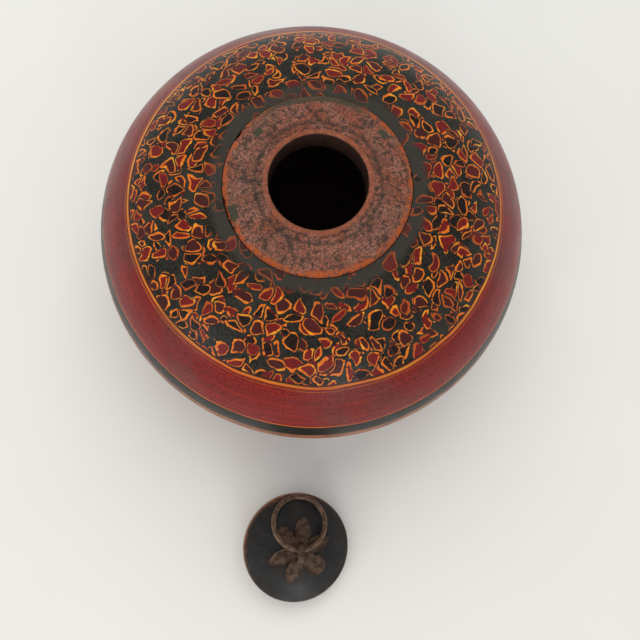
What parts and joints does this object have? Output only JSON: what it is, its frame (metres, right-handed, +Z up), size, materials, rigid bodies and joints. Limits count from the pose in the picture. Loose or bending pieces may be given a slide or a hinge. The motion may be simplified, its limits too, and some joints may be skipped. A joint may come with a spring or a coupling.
{
  "type": "round lidded box",
  "caption": "Squat round box of turned lacquered wood with a small mouth, its domed lid with a ring pull lying beside it",
  "frame": {"origin": "centre of the flat foot, on the surface that the box stands on", "axes": "+Z up along the axis of the body; the lid lies on the -Y side"},
  "size_m": [0.2, 0.2768, 0.1125],
  "materials": {
    "red_lacquer": "satin lacquer on turned wood, crimson with an orange-tan belly band",
    "spotted_lacquer": "satin black lacquer with crimson spots outlined in yellow-orange",
    "worn_collar_lacquer": "worn brick-red lacquer on turned wood",
    "lid_lacquer": "satin brown-black lacquer on turned wood",
    "old_metal": "dull brown aged metal, rubbed brighter on the ring"
  },
  "bodies": {
    "jar": {"bowl": "red_lacquer", "shoulder": "spotted_lacquer", "collar": "worn_collar_lacquer"},
    "lid": {"lid_disc": "lid_lacquer", "rosette": "old_metal", "split_pin": "old_metal"},
    "ring": {"ring_pull": "old_metal"}
  },
  "joints": [
    {"name": "lid_lift", "type": "slide", "parent": "jar", "child": "lid", "axis": [0, 0, 1], "range_m": [0, 0.13]},
    {"name": "ring_swing", "type": "hinge", "parent": "lid", "child": "ring", "pos_m": [0.03006, -0.14967, 0.02343], "axis": [0.9603, 0.2282, -0.1603], "range_deg": [0, 218]}
  ]
}
